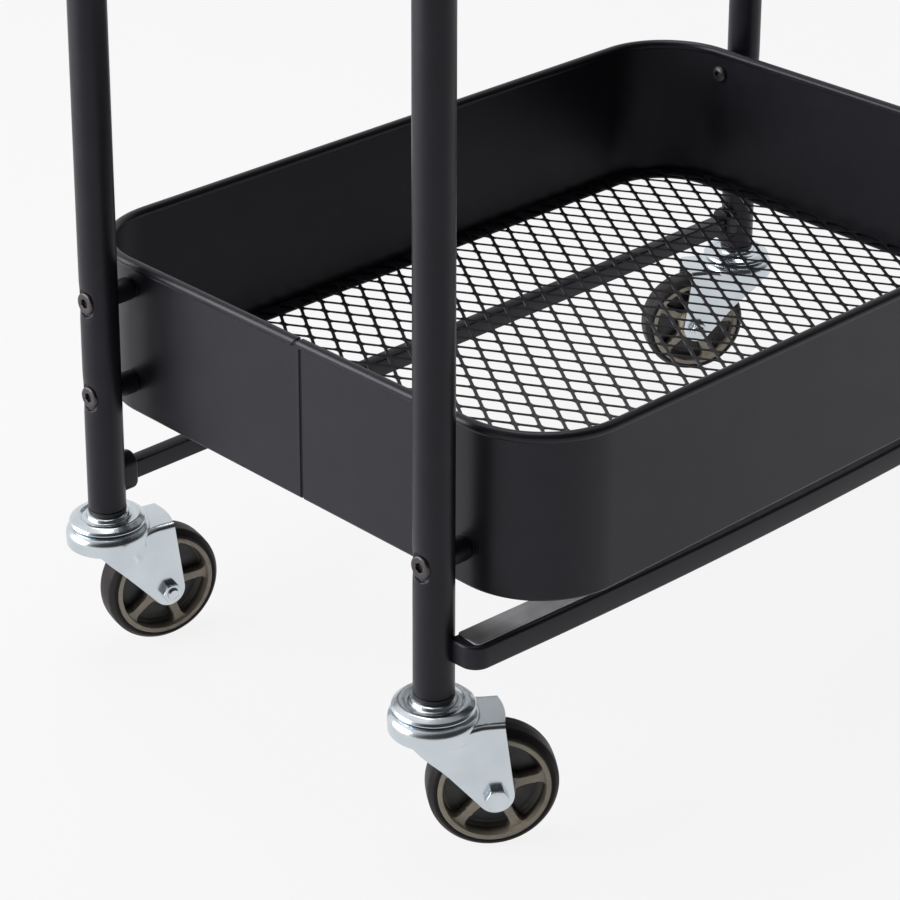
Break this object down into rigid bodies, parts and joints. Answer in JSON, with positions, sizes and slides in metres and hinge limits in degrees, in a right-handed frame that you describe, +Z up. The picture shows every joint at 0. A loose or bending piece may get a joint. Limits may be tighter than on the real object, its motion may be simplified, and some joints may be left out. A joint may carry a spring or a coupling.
{
  "type": "folding kitchen cart",
  "caption": "Folding two-tier kitchen cart: mesh-floored trays with rolled rims pivot between a rear frame with push handle and a front frame, on swivel casters.",
  "frame": {"origin": "on the floor under the middle of the cart", "axes": "+Z up, +X along the cart's long side, +Y towards the push handle"},
  "size_m": [0.682, 0.4388, 0.85],
  "materials": {
    "black_powder_coat": "matt black powder coat with a fine orange-peel texture",
    "blackened_screws": "satin blackened steel",
    "black_plastic": "moulded black plastic",
    "bare_plate": "plain grey metal plate, brushed",
    "zinc_plated_steel": "bright zinc plating with a pale blue cast",
    "wheel_core_plastic": "moulded taupe plastic",
    "wheel_tread_rubber": "smooth dark brown-black rubber"
  },
  "bodies": {
    "rear_frame": {"rear_left_post": "black_powder_coat", "rear_right_post": "black_powder_coat", "push_handle": "black_powder_coat", "handle_plugs": "black_plastic", "rear_pivot_spacers": "black_powder_coat", "rear_pivot_screws": "blackened_screws", "rear_pivot_nuts": "blackened_screws", "steady_pegs": "black_powder_coat", "steady_peg_screws": "blackened_screws", "rear_bar": "black_powder_coat", "rear_bar_end_plates": "black_powder_coat", "rear_stem_sockets": "black_plastic", "rear_caster_stems": "zinc_plated_steel"},
    "lower_tray": {"lower_tray_wall": "black_powder_coat", "lower_tray_mesh": "black_powder_coat", "lower_tray_bushes": "black_plastic"},
    "upper_tray": {"upper_tray_wall": "black_powder_coat", "upper_tray_mesh": "black_powder_coat", "upper_tray_bushes": "black_plastic"},
    "front_frame": {"front_left_post": "black_powder_coat", "front_right_post": "black_powder_coat", "front_post_caps": "black_plastic", "front_pivot_spacers": "black_powder_coat", "front_pivot_screws": "blackened_screws", "front_pivot_nuts": "blackened_screws", "front_bar": "black_powder_coat", "bar_plate": "bare_plate", "front_stem_sockets": "black_plastic", "front_caster_stems": "zinc_plated_steel"},
    "rear_left_caster": {"rear_left_caster_fork": "zinc_plated_steel", "rear_left_axle_bolt": "zinc_plated_steel", "rear_left_axle_sleeve": "zinc_plated_steel"},
    "rear_left_wheel": {"rear_left_wheel_core": "wheel_core_plastic", "rear_left_wheel_tread": "wheel_tread_rubber"},
    "rear_right_caster": {"rear_right_caster_fork": "zinc_plated_steel", "rear_right_axle_bolt": "zinc_plated_steel", "rear_right_axle_sleeve": "zinc_plated_steel"},
    "rear_right_wheel": {"rear_right_wheel_core": "wheel_core_plastic", "rear_right_wheel_tread": "wheel_tread_rubber"},
    "front_left_caster": {"front_left_caster_fork": "zinc_plated_steel", "front_left_axle_bolt": "zinc_plated_steel", "front_left_axle_sleeve": "zinc_plated_steel"},
    "front_left_wheel": {"front_left_wheel_core": "wheel_core_plastic", "front_left_wheel_tread": "wheel_tread_rubber"},
    "front_right_caster": {"front_right_caster_fork": "zinc_plated_steel", "front_right_axle_bolt": "zinc_plated_steel", "front_right_axle_sleeve": "zinc_plated_steel"},
    "front_right_wheel": {"front_right_wheel_core": "wheel_core_plastic", "front_right_wheel_tread": "wheel_tread_rubber"}
  },
  "joints": [
    {"name": "lower_tray_fold", "type": "hinge", "parent": "rear_frame", "child": "lower_tray", "pos_m": [0, 0.1555, 0.2535], "axis": [-1, 0, 0], "range_deg": [0, 67]},
    {"name": "upper_tray_fold", "type": "hinge", "parent": "rear_frame", "child": "upper_tray", "pos_m": [0, 0.1555, 0.7085], "axis": [-1, 0, 0], "range_deg": [0, 67]},
    {"name": "front_frame_fold", "type": "hinge", "parent": "lower_tray", "child": "front_frame", "pos_m": [0, -0.1555, 0.1905], "axis": [-1, 0, 0], "range_deg": [-67, 0]},
    {"name": "rear_left_swivel", "type": "hinge", "parent": "rear_frame", "child": "rear_left_caster", "pos_m": [-0.314, 0.1555, 0.09], "axis": [0, 0, 1], "continuous": true},
    {"name": "rear_left_wheel_spin", "type": "hinge", "parent": "rear_left_caster", "child": "rear_left_wheel", "pos_m": [-0.28004, 0.14703, 0.04], "axis": [0.2419, 0.9703, 0], "continuous": true},
    {"name": "rear_right_swivel", "type": "hinge", "parent": "rear_frame", "child": "rear_right_caster", "pos_m": [0.314, 0.1555, 0.09], "axis": [0, 0, 1], "continuous": true},
    {"name": "rear_right_wheel_spin", "type": "hinge", "parent": "rear_right_caster", "child": "rear_right_wheel", "pos_m": [0.28432, 0.17405, 0.04], "axis": [-0.5299, -0.848, 0], "continuous": true},
    {"name": "front_left_swivel", "type": "hinge", "parent": "front_frame", "child": "front_left_caster", "pos_m": [-0.314, -0.1555, 0.09], "axis": [0, 0, 1], "continuous": true},
    {"name": "front_left_wheel_spin", "type": "hinge", "parent": "front_left_caster", "child": "front_left_wheel", "pos_m": [-0.28568, -0.17607, 0.04], "axis": [0.5878, 0.809, 0], "continuous": true},
    {"name": "front_right_swivel", "type": "hinge", "parent": "front_frame", "child": "front_right_caster", "pos_m": [0.314, -0.1555, 0.09], "axis": [0, 0, 1], "continuous": true},
    {"name": "front_right_wheel_spin", "type": "hinge", "parent": "front_right_caster", "child": "front_right_wheel", "pos_m": [0.28719, -0.178, 0.04], "axis": [0.6428, -0.766, 0], "continuous": true}
  ],
  "couplings": [
    {"joint": "upper_tray_fold", "follows": "lower_tray_fold", "ratio": 1},
    {"joint": "front_frame_fold", "follows": "lower_tray_fold", "ratio": -1}
  ]
}
